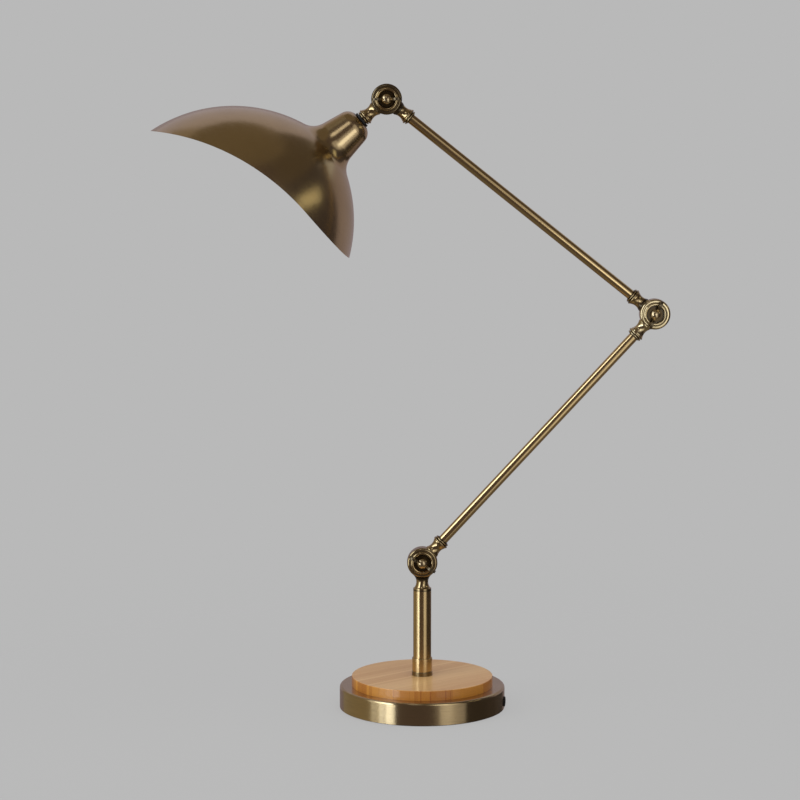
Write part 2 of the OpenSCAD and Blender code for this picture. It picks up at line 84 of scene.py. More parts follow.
# Noise settings: octaves and the weight of each finer one
PATINA_CLOUD = {"Detail": 3.0, "Roughness": 0.55}
BRUSH_LINES = {"Detail": 4.0, "Roughness": 0.62}
SOFT_CLOUD = {"Detail": 3.0}
FINE_GRAIN = {"Detail": 2.0}
SLOW_SWAY = {"Detail": 1.0}


class Slot(Enum):
    """Material slots of the record."""

    FELT = "felt"
    ZINC = "zinc_steel"
    IRON = "cast_iron"
    BASE = "base_brass"
    BAMBOO = "bamboo"
    RUBBER = "black_rubber"
    STEM = "stem_brass"
    TUBE = "tube_brass"
    KNUCKLE = "knuckle_brass"
    SCREW = "screw_brass"
    FIBRE = "fibre"
    LEAD = "lead_insulation"
    HOOD = "hood_brass"
    PHENOLIC = "phenolic"
    PORCELAIN = "porcelain"
    CONTACT = "contact_brass"
    BULB_METAL = "bulb_metal"
    GLASS = "opal_glass"


class Along(Enum):
    """Directions on a turned piece; SIDE and AXIS hold the names of their sockets."""

    SIDE = "X"
    AXIS = "Z"
    RADIUS = "radius"


class Outline(Enum):
    """Outline of a studio lamp."""

    OBLONG = "RECTANGLE"
    OVAL = "ELLIPSE"


class Lights(Enum):
    """What a studio lamp shines on."""

    MIRRORS = "reflections only"
    MATT = "matt surfaces only"


def linear(code: str) -> tuple[float, float, float, float]:
    """Turns an sRGB hex colour into linear values.

    Args:
        code: Six hex digits after a hash sign.

    Returns:
        Linear red, green, blue and a full alpha.
    """
    shares = [int(code[i:i + 2], 16) / 255 for i in (1, 3, 5)]
    red, green, blue = (s / 12.92 if s <= 0.04045 else ((s + 0.055) / 1.055) ** 2.4 for s in shares)
    return red, green, blue, 1.0


def feed(tree: NodeTree, node: Node, sockets: dict[Any, Any]) -> None:
    """Sets or links inputs of a node.

    Args:
        tree: Node tree that holds the node.
        node: Node that takes the values.
        sockets: Input name or number, with a plain value, an output, or a node whose first output it takes.
    """
    for key, value in sockets.items():
        source = value.outputs[0] if isinstance(value, Node) else value
        if isinstance(source, NodeSocket):
            tree.links.new(source, node.inputs[key])
        else:
            node.inputs[key].default_value = source


def add(tree: NodeTree, kind: str, sockets: dict[Any, Any] | None = None, **settings: Any) -> Node:
    """Adds a node with its settings and links.

    Args:
        tree: Node tree that takes the node.
        kind: Blender's name of the node type.
        sockets: Inputs, as feed takes them.
        settings: Properties of the node itself.

    Returns:
        The new node.
    """
    made = tree.nodes.new(kind)
    for key, value in settings.items():
        setattr(made, key, value)
    feed(tree, made, sockets or {})
    return made


def new_object(name: str, data: ID) -> Object:
    """Adds an object to the scene.

    Args:
        name: Name of the object.
        data: Its mesh, lamp or camera.

    Returns:
        The new object, at the origin.
    """
    made = bpy.data.objects.new(name, data)
    bpy.context.scene.collection.objects.link(made)
    return made


def bare_material(name: str) -> Material:
    """Makes a material with an empty node tree.

    Args:
        name: Name of the material.

    Returns:
        The new material.
    """
    made = bpy.data.materials.new(name)
    made.use_nodes = True
    made.node_tree.nodes.clear()
    return made


@dataclass(frozen=True)
class Finish:
    """What every finish shares: its name and the slot of the record that it fills."""

    name: str
    slot: Slot

    def material(self) -> Material:
        """Makes the material once and hands out the same one after that.

        Returns:
            The finish's material.
        """
        found = bpy.data.materials.get(self.name)
        if found:
            return found
        made = bare_material(self.name)
        shader = add(made.node_tree, "ShaderNodeBsdfPrincipled")
        add(made.node_tree, "ShaderNodeOutputMaterial", {"Surface": shader})
        self.draw(made.node_tree, shader)
        return made

    def draw(self, tree: NodeTree, shader: Node) -> None:
        """Fills the node tree; each finish has its own."""
        raise NotImplementedError


@dataclass(frozen=True)
class Band:
    """A stretch of a turned piece drawn dark, such as patina in a groove or a recess, or painted shade where
    parts meet.
    """

    along: Along
    middle_mm: float
    half_mm: float
    share: float
    soft_mm: float = 0.5

    def draw(self, tree: NodeTree, turned: NodeSocket) -> Node:
        """Draws how dark the band makes the piece.

        Args:
            tree: Node tree of the material.
            turned: Place on the turned piece, in metres.

        Returns:
            Node that gives 0 outside the band and the band's share inside.
        """
        if self.along is Along.RADIUS:
            flat = add(tree, "ShaderNodeVectorMath", {0: turned, 1: ACROSS_Z}, operation="MULTIPLY")
            where = add(tree, "ShaderNodeVectorMath", {0: flat}, operation="LENGTH").outputs["Value"]
        else:
            where = add(tree, "ShaderNodeSeparateXYZ", {"Vector": turned}).outputs[self.along.value]
        off = add(tree, "ShaderNodeMath", {0: where, 1: self.middle_mm * MM}, operation="SUBTRACT")
        far = add(tree, "ShaderNodeMath", {0: off}, operation="ABSOLUTE")
        return add(tree, "ShaderNodeMapRange", {
            "Value": far, "From Min": (self.half_mm + self.soft_mm) * MM, "From Max": self.half_mm * MM,
            "To Max": self.share})


@dataclass(frozen=True, kw_only=True)
class Brass(Finish):
    """Antique brass: sheet or cast brass, darkened by chemical patina, rubbed back and lacquered.

    Open faces are a muted gold and the grooves stay nearly black; lathe or brush marks draw reflections out.
    The real marks, about 0.1 mm apart, are too fine to show, so brush_mm spaces them coarser.
    """

    roughness: float
    lacquer: float
    colour: str = "#CBB07D"
    # Patina colour and its added roughness, also used for the painted shade that some bands add
    patina: str = "#2B241B"
    patina_roughness: float = 0.22
    lacquer_roughness: float = 0.12
    brush_mm: float = 0.0
    brush_deg: float = 57.0
    brush_range: tuple[float, float] = (0.3, 0.7)
    brush_depth_mm: float = 0.0
    brush_tone: float = 0.03
    brush_patina: float = 0.0
    anisotropy: float = 0.0
    cloud_mm: float = 34.0
    cloud_range: tuple[float, float] = (0.42, 0.75)
    cloud_share: float = 0.1
    bands: tuple[Band, ...] = ()

    def draw(self, tree: NodeTree, shader: Node) -> None:
        """Draws colour, gloss and brush marks.

        Args:
            tree: Node tree of the material.
            shader: Principled node that takes the results.
        """
        marks = self.marks(tree) if self.brush_mm else None
        dark_share = self.shade_and_patina(tree, marks)
        colour = add(tree, "ShaderNodeMix", {
            "Factor": dark_share, "A": linear(self.colour), "B": linear(self.patina)}, data_type="RGBA")
        rough = add(tree, "ShaderNodeMapRange", {
            "Value": dark_share, "To Min": self.roughness, "To Max": self.roughness + self.patina_roughness})
        if marks is not None:
            low, high = self.brush_range
            tone = add(tree, "ShaderNodeMapRange", {
                "Value": marks, "From Min": low, "From Max": high,
                "To Min": -self.brush_tone, "To Max": self.brush_tone})
            rough = add(tree, "ShaderNodeMath", {0: rough, 1: tone}, operation="ADD", use_clamp=True)
            if self.brush_depth_mm:
                bump = add(tree, "ShaderNodeBump", {
                    "Height": marks, "Distance": self.brush_depth_mm * MM, "Strength": 1.0})
                feed(tree, shader, {"Normal": bump})
        if self.anisotropy:
            run = add(tree, "ShaderNodeTangent", direction_type="UV_MAP", uv_map=WRAP)
            feed(tree, shader, {
                "Anisotropic": self.anisotropy, "Anisotropic Rotation": QUARTER_TURN, "Tangent": run})
        feed(tree, shader, {
            "Base Color": colour.outputs["Result"], "Roughness": rough, "Metallic": 1.0,
            "Coat Weight": self.lacquer, "Coat Roughness": self.lacquer_roughness})

    def shade_and_patina(self, tree: NodeTree, marks: Node | None) -> Node:
        """Draws how much patina is left in clouds, in brush marks and in bands, with the painted shade that
        some bands add.

        Args:
            tree: Node tree of the material.
            marks: Node with the height of the brush marks, if there are any.

        Returns:
            Node that gives 0 for bare brass, up to 1 for full patina and painted shade.
        """
        place = add(tree, "ShaderNodeTexCoord").outputs["Object"]
        cloud = add(tree, "ShaderNodeTexNoise", {
            "Vector": place, "Scale": 1 / (self.cloud_mm * MM), **PATINA_CLOUD})
        low, high = self.cloud_range
        dark_share = add(tree, "ShaderNodeMapRange", {
            "Value": cloud, "From Min": low, "From Max": high, "To Max": self.cloud_share})
        if marks is not None:
            low, high = self.brush_range
            dull = add(tree, "ShaderNodeMapRange", {
                "Value": marks, "From Min": low, "From Max": high, "To Max": self.brush_patina})
            dark_share = add(tree, "ShaderNodeMath", {0: dark_share, 1: dull}, operation="ADD")
        turned = add(tree, "ShaderNodeAttribute", attribute_name=TURNED).outputs["Vector"]
        for band in self.bands:
            dark_share = add(tree, "ShaderNodeMath", {0: dark_share, 1: band.draw(tree, turned)}, operation="MAXIMUM")
        return dark_share

    def marks(self, tree: NodeTree) -> Node:
        """Draws lines round the turning axis from the wrap map, with no seam.

        Args:
            tree: Node tree of the material.

        Returns:
            Node with the height of the marks, 0 to 1.
        """
        wrap = add(tree, "ShaderNodeUVMap", uv_map=WRAP)
        parts = add(tree, "ShaderNodeSeparateXYZ", {"Vector": wrap}).outputs
        turn = add(tree, "ShaderNodeMath", {0: parts["X"], 1: math.tau}, operation="MULTIPLY")
        across = add(tree, "ShaderNodeMath", {0: turn}, operation="COSINE")
        behind = add(tree, "ShaderNodeMath", {0: turn}, operation="SINE")
        rise = add(tree, "ShaderNodeMath", {0: parts["Y"], 1: 1 / (self.brush_mm * MM)}, operation="MULTIPLY")
        ring = add(tree, "ShaderNodeCombineXYZ", {"X": across, "Y": behind})
        lift = add(tree, "ShaderNodeCombineXYZ", {"Z": rise})
        run = 1 / math.radians(self.brush_deg)
        spot = add(tree, "ShaderNodeVectorMath", {
            0: ring, 1: (run, run, run), 2: lift}, operation="MULTIPLY_ADD")
        return add(tree, "ShaderNodeTexNoise", {"Vector": spot, "Scale": 1.0, **BRUSH_LINES})


@dataclass(frozen=True, kw_only=True)
class Bamboo(Finish):
    """Laminated bamboo under gloss lacquer: pale strips glued side by side, honey-brown on the sawn edge.

    Each strip has its own width, tone, long fibres and growth rings; the lacquer mirrors the stem on it.
    """

    edge_radius_mm: float
    edge_soft_mm: tuple[float, float] = (0.5, 0.05)
    run_deg: float = 41.0
    strip_mm: float = 7.2
    sway_strips: float = 2.6
    sway_share: float = 2.4
    glue_share: float = 0.045
    glue_tone: float = 0.3
    fibre_mm: float = 0.55
    fibre_run_mm: float = 30.0
    ring_gap_mm: float = 85.0
    ring_shift: float = 7.0
    ring_share: float = 0.016
    ring_tone: float = 0.35
    pale: str = "#EDC488"
    deep: str = "#C89257"
    edge_pale: str = "#EFA93E"
    edge_deep: str = "#A2550E"
    gloss: tuple[float, float] = (0.36, 0.52)
    grain_depth_mm: float = 0.05
    grain_strength: float = 0.35
    lacquer: float = 0.4
    lacquer_roughness: float = 0.07

    def draw(self, tree: NodeTree, shader: Node) -> None:
        """Draws the stained strips, the sawn edge and the lacquer.

        Args:
            tree: Node tree of the material.
            shader: Principled node that takes the results.
        """
        place = add(tree, "ShaderNodeTexCoord").outputs["Object"]
        turned = add(tree, "ShaderNodeMapping", {
            "Vector": place, "Rotation": (0.0, 0.0, -math.radians(self.run_deg))})
        thin = 1 / (self.fibre_mm * MM)
        along = add(tree, "ShaderNodeMapping", {
            "Vector": turned, "Scale": (1 / (self.fibre_run_mm * MM), thin, thin)})
        fibre = add(tree, "ShaderNodeTexNoise", {"Vector": along, "Scale": 1.0, **SOFT_CLOUD})
        depth = self.strips(tree, turned, fibre)
        face = add(tree, "ShaderNodeMix", {
            "Factor": depth, "A": linear(self.pale), "B": linear(self.deep)}, data_type="RGBA")
        edge = add(tree, "ShaderNodeMix", {
            "Factor": depth, "A": linear(self.edge_pale), "B": linear(self.edge_deep)}, data_type="RGBA")
        flat = add(tree, "ShaderNodeVectorMath", {0: place, 1: ACROSS_Z}, operation="MULTIPLY")
        radius = add(tree, "ShaderNodeVectorMath", {0: flat}, operation="LENGTH").outputs["Value"]
        inner, outer = ((self.edge_radius_mm - soft) * MM for soft in self.edge_soft_mm)
        sawn = add(tree, "ShaderNodeMapRange", {"Value": radius, "From Min": inner, "From Max": outer})
        colour = add(tree, "ShaderNodeMix", {
            "Factor": sawn, "A": face.outputs["Result"], "B": edge.outputs["Result"]}, data_type="RGBA")
        smooth, dull = self.gloss
        rough = add(tree, "ShaderNodeMapRange", {"Value": fibre, "To Min": smooth, "To Max": dull})
        bump = add(tree, "ShaderNodeBump", {
            "Height": depth, "Distance": self.grain_depth_mm * MM, "Strength": self.grain_strength})
        feed(tree, shader, {
            "Base Color": colour.outputs["Result"], "Roughness": rough, "Normal": bump,
            "Coat Weight": self.lacquer, "Coat Roughness": self.lacquer_roughness})

    def strips(self, tree: NodeTree, turned: Node, fibre: Node) -> Node:
        """Draws strips of uneven width with fibres, glue lines and growth rings.

        Args:
            tree: Node tree of the material.
            turned: Node with the place on the disc, X along the strips.
            fibre: Node with the fibres' tone.

        Returns:
            Node that gives 0 for the palest wood, 1 for the deepest.
        """
        parts = add(tree, "ShaderNodeSeparateXYZ", {"Vector": turned}).outputs
        sway = add(tree, "ShaderNodeTexNoise", {
            "W": parts["Y"], "Scale": 1 / (self.sway_strips * self.strip_mm * MM), **SLOW_SWAY},
            noise_dimensions="1D")
        even = add(tree, "ShaderNodeMath", {0: parts["Y"], 1: 1 / (self.strip_mm * MM)}, operation="MULTIPLY")
        across = add(tree, "ShaderNodeMath", {0: sway, 1: self.sway_share, 2: even}, operation="MULTIPLY_ADD")
        strip = add(tree, "ShaderNodeMath", {0: across}, operation="FLOOR")
        tone = add(tree, "ShaderNodeTexWhiteNoise", {"W": strip}, noise_dimensions="1D")
        within = add(tree, "ShaderNodeMath", {0: across}, operation="FRACT")
        middle = add(tree, "ShaderNodeMath", {0: within, 1: 0.5}, operation="SUBTRACT")
        side = add(tree, "ShaderNodeMath", {0: middle}, operation="ABSOLUTE")
        glue = add(tree, "ShaderNodeMapRange", {
            "Value": side, "From Min": 0.5 - self.glue_share, "From Max": 0.5})
        shift = add(tree, "ShaderNodeMath", {0: tone, 1: self.ring_shift}, operation="MULTIPLY")
        reach = add(tree, "ShaderNodeMath", {
            0: parts["X"], 1: 1 / (self.ring_gap_mm * MM), 2: shift}, operation="MULTIPLY_ADD")
        phase = add(tree, "ShaderNodeMath", {0: reach}, operation="FRACT")
        ring = add(tree, "ShaderNodeMapRange", {
            "Value": phase, "From Min": self.ring_share, "From Max": 0.0, "To Max": self.ring_tone})
        both = add(tree, "ShaderNodeMath", {0: fibre, 1: tone}, operation="ADD")
        mean = add(tree, "ShaderNodeMath", {0: both, 1: 0.5}, operation="MULTIPLY")
        seam = add(tree, "ShaderNodeMath", {0: glue, 1: self.glue_tone, 2: mean}, operation="MULTIPLY_ADD")
        return add(tree, "ShaderNodeMath", {0: seam, 1: ring}, operation="ADD", use_clamp=True)


@dataclass(frozen=True, kw_only=True)
class Plain(Finish):
    """A moulded, cast, woven or plated surface: two close tones in clouds and a fine grain in its gloss."""

    colour: str
    second: str
    roughness: float
    gloss_spread: float = 0.08
    metallic: float = 0.0
    grain_mm: float
    grain_depth_mm: float = 0.01
    grain_strength: float = 0.6
    cloud_mm: float
    coat: float = 0.0
    sheen: float = 0.0

    def draw(self, tree: NodeTree, shader: Node) -> None:
        """Draws the clouded colour and the grain.

        Args:
            tree: Node tree of the material.
            shader: Principled node that takes the results.
        """
        place = add(tree, "ShaderNodeTexCoord").outputs["Object"]
        cloud = add(tree, "ShaderNodeTexNoise", {
            "Vector": place, "Scale": 1 / (self.cloud_mm * MM), **SOFT_CLOUD})
        grain = add(tree, "ShaderNodeTexNoise", {
            "Vector": place, "Scale": 1 / (self.grain_mm * MM), **FINE_GRAIN})
        colour = add(tree, "ShaderNodeMix", {
            "Factor": cloud, "A": linear(self.colour), "B": linear(self.second)}, data_type="RGBA")
        rough = add(tree, "ShaderNodeMapRange", {
            "Value": grain, "To Min": self.roughness - self.gloss_spread,
            "To Max": min(1.0, self.roughness + self.gloss_spread)})
        bump = add(tree, "ShaderNodeBump", {
            "Height": grain, "Distance": self.grain_depth_mm * MM, "Strength": self.grain_strength})
        feed(tree, shader, {
            "Base Color": colour.outputs["Result"], "Roughness": rough, "Normal": bump,
            "Metallic": self.metallic, "Coat Weight": self.coat, "Sheen Weight": self.sheen})


def half_width_mm(node: str) -> float:
    """Half of a CAD node's width, the radius of an upright turned one, in millimetres."""
    low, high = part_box(node)
    return (high.x - low.x) / 2 / MM


# Base shell: spun sheet brass, brushed round its axis, with patina left in the marks as broken level lines
BASE_BRASS = Brass("brass_antique_brushed_base", Slot.BASE, colour="#C3AB7E", roughness=0.19, lacquer=0.45,
                   brush_mm=1.2, brush_deg=14.0, brush_depth_mm=0.0005, brush_tone=0.025, brush_patina=0.14,
                   anisotropy=0.8)
# Stem and foot: drawn and turned brass, fine marks round the axis that draw highlights into upright streaks
STEM_BRASS = Brass("brass_antique_turned_stem", Slot.STEM, roughness=0.23, lacquer=0.2, brush_mm=1.6,
                   brush_tone=0.01, anisotropy=0.8)
# Arm tubes: drawn brass, polished and lacquered, with narrow bright streaks
TUBE_BRASS = Brass("brass_antique_drawn_tube", Slot.TUBE, roughness=0.15, lacquer=0.3, brush_mm=3.0,
                   brush_tone=0.01, anisotropy=0.2)
# Dark on every knuckle face: the recess round the screw, the groove outside the bead, two collar grooves
FACE_GROOVES = (Band(Along.RADIUS, middle_mm=0.0, half_mm=8.3, share=0.97),
                Band(Along.RADIUS, middle_mm=12.1, half_mm=0.2, share=0.6, soft_mm=0.4),
                Band(Along.SIDE, middle_mm=28.75, half_mm=0.3, share=0.85, soft_mm=0.4),
                # The last band is the outer collar groove, widened into painted shade over the collar's end
                # bead
                Band(Along.SIDE, middle_mm=31.3, half_mm=0.6, share=0.9))
# Knuckle halves: cast and turned brass, polished, with dark patina left in the grooves
KNUCKLE_BRASS = Brass("brass_antique_cast_knuckle", Slot.KNUCKLE, colour="#B49D70", roughness=0.14,
                      lacquer=0.3, cloud_mm=14.0, bands=FACE_GROOVES)
# Knuckle halves behind: painted shade too where the neck goes in behind the other half
REAR_SHADED_BRASS = replace(KNUCKLE_BRASS, name="brass_antique_cast_knuckle_rear_shaded", bands=(
    *FACE_GROOVES, Band(Along.RADIUS, middle_mm=17.2, half_mm=1.0, share=0.9, soft_mm=0.7)))
# Knuckle half on the hood: painted shade darkens the outer rim of its face
HEAD_SHADED_BRASS = replace(KNUCKLE_BRASS, name="brass_antique_cast_knuckle_head_shaded", bands=(
    *FACE_GROOVES, Band(Along.RADIUS, middle_mm=14.2, half_mm=1.7, share=0.7)))
# Knuckle half above the stem: the same painted shade on the rim of its face, lighter
FOOT_SHADED_BRASS = replace(KNUCKLE_BRASS, name="brass_antique_cast_knuckle_foot_shaded", bands=(
    *FACE_GROOVES, Band(Along.RADIUS, middle_mm=14.2, half_mm=1.7, share=0.25)))
# Knuckle half in front of the elbow: a lighter copy of the knuckle brass, painted light
ELBOW_LIT_BRASS = replace(KNUCKLE_BRASS, name="brass_antique_cast_knuckle_elbow_lit", colour="#C7B48A")
# Clamping screws: cast brass, the ears darker than the hub
SCREW_BRASS = Brass("brass_antique_cast_screw", Slot.SCREW, colour="#C1AC84", roughness=0.22, lacquer=0.2,
                    cloud_mm=8.0, bands=(
                        Band(Along.RADIUS, middle_mm=13.0, half_mm=7.4, share=0.75, soft_mm=0.6),))
# Nuts and washers of the joints: turned brass, blackened
NUT_BRASS = Brass("brass_blackened_turned_nut", Slot.SCREW, colour="#4A3B22", roughness=0.3, lacquer=0.2,
                  cloud_mm=6.0)
# Hood: spun sheet brass, satin, with the spinning marks round its axis and painted shade round the washer
HOOD_BRASS = Brass("brass_antique_spun_hood", Slot.HOOD, colour="#BFA77C", roughness=0.22, lacquer=0.2,
                   brush_mm=3.0, brush_depth_mm=0.0006, anisotropy=0.2, bands=(
                       Band(Along.RADIUS, middle_mm=0.0, half_mm=10.4, share=0.9, soft_mm=1.6),))
# Disc on the base: strip bamboo, sanded and lacquered to a gloss
BAMBOO = Bamboo("bamboo_laminated_lacquered", Slot.BAMBOO, edge_radius_mm=half_width_mm("wood_disc"))
# Pad: pressed wool felt, matt and fibrous
FELT = Plain("felt_wool_pressed", Slot.FELT, colour="#1B1B1D", second="#2B2B2E", roughness=0.95,
             grain_mm=0.9, grain_depth_mm=0.25, cloud_mm=6.0, sheen=0.4)
# Closing plate, screws, washers, nuts: zinc-plated steel with a faint spangle
ZINC = Plain("steel_zinc_plated", Slot.ZINC, colour="#A9ACAF", second="#BDBFC1", roughness=0.34, metallic=1.0,
             grain_mm=1.5, cloud_mm=5.0)
# Weight: rough cast iron, dark grey and pitted
IRON = Plain("iron_cast_rough", Slot.IRON, colour="#3A3938", second="#4A4845", roughness=0.7, metallic=1.0,
             grain_mm=1.4, grain_depth_mm=0.2, cloud_mm=7.0)
# Grommet and hood washer: moulded black rubber, a soft dull gloss
RUBBER = Plain("rubber_moulded_black", Slot.RUBBER, colour="#0B0B0B", second="#131211", roughness=0.6,
               grain_mm=0.5, grain_depth_mm=0.02, cloud_mm=5.0)
# Friction washers: pressed vulcanised fibre, dark brown and dull
FIBRE = Plain("fibre_vulcanised_dark", Slot.FIBRE, colour="#2A211B", second="#3A2E25", roughness=0.7,
              grain_mm=0.5, grain_depth_mm=0.03, cloud_mm=4.0)
# Leads: extruded PVC insulation, dark with a low gloss
LEAD = Plain("pvc_extruded_lead", Slot.LEAD, colour="#2B2622", second="#352F2A", roughness=0.45,
             grain_mm=0.6, cloud_mm=6.0)
# Lampholder: moulded phenolic, nearly black with a faint brown mottle
PHENOLIC = Plain("phenolic_moulded_black", Slot.PHENOLIC, colour="#17120F", second="#241B16", roughness=0.32,
                 grain_mm=0.7, cloud_mm=3.5, coat=0.3)
# Insert: glazed porcelain, off-white with a clear gloss
PORCELAIN = Plain("porcelain_glazed_white", Slot.PORCELAIN, colour="#E4E0D6", second="#ECE8DF",
                  roughness=0.25, grain_mm=1.0, cloud_mm=6.0, coat=0.5)
# Contact and screw shell: stamped brass, bright and a little uneven
CONTACT = Plain("brass_stamped_contact", Slot.CONTACT, colour="#C9A869", second="#B8965A", roughness=0.3,
                metallic=1.0, grain_mm=0.8, cloud_mm=4.0)
# Bulb's screw base: rolled nickel-plated brass, pale and bright
BULB_METAL = Plain("brass_nickel_plated_rolled", Slot.BULB_METAL, colour="#BFBDB6", second="#CFCDC7",
                   roughness=0.25, metallic=1.0, grain_mm=0.8, cloud_mm=4.0)
# Globe: blown opal glass, white right through with a smooth gloss
OPAL = Plain("glass_opal_blown", Slot.GLASS, colour="#EDEAE2", second="#F4F1EA", roughness=0.14,
             grain_mm=12.0, grain_depth_mm=0.02, cloud_mm=25.0, coat=0.6)


@dataclass(frozen=True)
class Place:
    """A turning axis: where it starts, where it points and which way is its zero turn."""

    origin: Vector
    axis: Vector
    side: Vector = field(default_factory=lambda: Vector((0.0, 1.0, 0.0)))

    def matrix(self) -> Matrix:
        """Works out the axis's own frame, with Z along the axis.

        Returns:
            Matrix from that frame to the shared one.
        """
        across = self.axis.cross(self.side).normalized()
        columns = (across.cross(self.axis).normalized(), across, self.axis.normalized())
        turn = Matrix([[c[i] for c in columns] for i in range(3)]).to_4x4()
        return Matrix.Translation(self.origin) @ turn


UPRIGHT = Place(Vector((0.0, 0.0, 0.0)), Vector((0.0, 0.0, 1.0)))
PIVOT_AXIS = Vector((0.0, 1.0, 0.0))


def joint_place(name: str) -> Vector:
    """Where a joint of the frame turns.

    Args:
        name: Joint of the record.

    Returns:
        Its point at rest, in metres.
    """
    return Vector(next(j["pos_m"] for j in frame["joints"] if j["name"] == name))


def knuckle_place(pivot: Vector, along: Vector) -> Place:
    """Axis of a knuckle half, with its neck to the side."""
    return Place(pivot, PIVOT_AXIS, along)


def middle_of(node: str) -> Vector:
    """Centre of a CAD node's box."""
    low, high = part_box(node)
    return (low + high) / 2


def merged_copy(node: str, name: str) -> Object:
    """Copies a CAD node with its vertices merged and its true surface normals kept.

    Args:
        node: CAD node to copy.
        name: Name of the new piece.

    Returns:
        The new object, at the origin.
    """
    source = frame["nodes"][node].data
    places = np.empty(len(source.vertices) * 3)
    source.vertices.foreach_get("co", places)
    corners = np.empty(len(source.loops), int)
    source.loops.foreach_get("vertex_index", corners)
    normals = np.empty(len(source.loops) * 3)
    source.corner_normals.foreach_get("vector", normals)
    places = places.reshape(-1, 3)
    cells = np.round(places / (MERGE_MM * MM))
    _, first, merged = np.unique(cells, axis=0, return_index=True, return_inverse=True)
    faces = merged.ravel()[corners].reshape(-1, 3)
    kept = (faces[:, 0] != faces[:, 1]) & (faces[:, 1] != faces[:, 2]) & (faces[:, 2] != faces[:, 0])
    mesh = bpy.data.meshes.new(name)
    mesh.from_pydata(places[first].tolist(), [], faces[kept].tolist())
    mesh.shade_smooth()
    mesh.normals_split_custom_set(normals.reshape(-1, 3, 3)[kept].reshape(-1, 3).tolist())
    return new_object(name, mesh)


def map_round(mesh: Mesh, place: Place) -> None:
    """Maps a mesh of triangles round a turning axis and notes where its vertices lie on the turned piece.

    The map has the turn as U, with no triangle across the seam, and as V the radius plus the height along the
    axis. The note has X to the side and Z along the axis. Lengths are in metres.

    Args:
        mesh: Mesh that takes the map and the note.
        place: The turning axis.
    """
    local = place.matrix().inverted()
    spots = np.array([local @ v.co for v in mesh.vertices])
    turns = np.arctan2(spots[:, 1], spots[:, 0]) / math.tau
    reach = np.hypot(spots[:, 0], spots[:, 1]) + spots[:, 2]
    corners = np.empty(len(mesh.loops), int)
    mesh.loops.foreach_get("vertex_index", corners)
    turn = turns[corners].reshape(-1, 3)
    turn = turn - np.round(turn - turn[:, :1])
    wrap = np.column_stack([turn.ravel(), reach[corners]])
    mesh.uv_layers.new(name=WRAP).uv.foreach_set("vector", wrap.astype(np.float32).ravel())
    note = mesh.attributes.new(TURNED, "FLOAT_VECTOR", "POINT")
    note.data.foreach_set("vector", spots.astype(np.float32).ravel())


def dress(node: str, finish: Finish, place: Place) -> None:
    """Replaces a CAD node by its merged copy in a finish.

    Args:
        node: CAD node that the piece stands for.
        finish: Finish of the piece.
        place: Turning axis that its marks and grooves go round.
    """
    made = merged_copy(node, f"{node}_dressed")
    map_round(made.data, place)
    made.data.materials.append(finish.material())
    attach(made, frame["nodes"][node]["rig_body"])
    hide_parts(node)
    LOG.info("%s dressed in %s", node, finish.name)


def paint(nodes: Iterable[str], finish: Finish) -> None:
    """Gives CAD nodes that keep their own mesh a finish.

    Args:
        nodes: CAD nodes.
        finish: Finish for their material slot.
    """
    for node in nodes:
        slots = frame["nodes"][node].data.materials
        slots.clear()
        slots.append(finish.material())
        LOG.info("%s painted in %s", node, finish.name)


# Adds a tree's own nodes, given the tree and its inputs, and returns the node with the geometry
Drawer = Callable[[NodeTree, NodeOutputs], Node]


def grow(name: str, finish: Finish, inputs: dict[str, float | int], draw: Drawer, place: Place,
         body: str) -> None:
    """Makes a repeated or wound piece with a Geometry Nodes tree and bakes it to one mesh.

    Args:
        name: Name of the piece and of its tree.
        finish: Finish of the piece.
        inputs: Named inputs of the tree with their values; whole numbers become integer inputs.
        draw: Function that adds the tree's own nodes.
        place: Axis that the piece is built round, along Z.
        body: Body of the frame that carries the piece.
    """
    tree = bpy.data.node_groups.new(name, "GeometryNodeTree")
    values = {}
    for label, value in inputs.items():
        kind = "NodeSocketInt" if isinstance(value, int) else "NodeSocketFloat"
        values[tree.interface.new_socket(label, in_out="INPUT", socket_type=kind).identifier] = value
    tree.interface.new_socket("Geometry", in_out="OUTPUT", socket_type="NodeSocketGeometry")
    entry = add(tree, "NodeGroupInput")
    solid = add(tree, "GeometryNodeRealizeInstances", {"Geometry": draw(tree, entry.outputs)})
    dressed = add(tree, "GeometryNodeSetMaterial", {"Geometry": solid, "Material": finish.material()})
    add(tree, "NodeGroupOutput", {"Geometry": dressed})
    seed = new_object(f"{name}_seed", bpy.data.meshes.new(name))
    maker = seed.modifiers.new(name, "NODES")
    maker.node_group = tree
    for key, value in values.items():
        maker[key] = value
    graph = bpy.context.evaluated_depsgraph_get()
    mesh = bpy.data.meshes.new_from_object(seed.evaluated_get(graph), depsgraph=graph)
    seed.modifiers.remove(maker)
    bpy.data.objects.remove(seed)
    mesh.transform(place.matrix())
    made = new_object(name, mesh)
    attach(made, body)
    LOG.info("%s grown in %s", name, finish.name)


def draw_ribs(tree: NodeTree, given: NodeOutputs) -> Node:
    """Sets round ribs upright in a ring, half sunk into the wall behind them.

    Args:
        tree: Geometry Nodes tree.
        given: Its inputs: Count, Ring, Height, Rib, Sides and Start.

    Returns:
        Node with the ring of ribs.
    """
    ring = add(tree, "GeometryNodeMeshCircle", {"Vertices": given["Count"], "Radius": given["Ring"]})
    half = add(tree, "ShaderNodeMath", {
        0: given["Height"], 1: 0.5, 2: given["Start"]}, operation="MULTIPLY_ADD")
    lift = add(tree, "ShaderNodeCombineXYZ", {"Z": half})
    rib = add(tree, "GeometryNodeMeshCylinder", {
        "Vertices": given["Sides"], "Radius": given["Rib"], "Depth": given["Height"]})
    raised = add(tree, "GeometryNodeTransform", {"Geometry": rib, "Translation": lift})
    return add(tree, "GeometryNodeInstanceOnPoints", {"Points": ring, "Instance": raised})


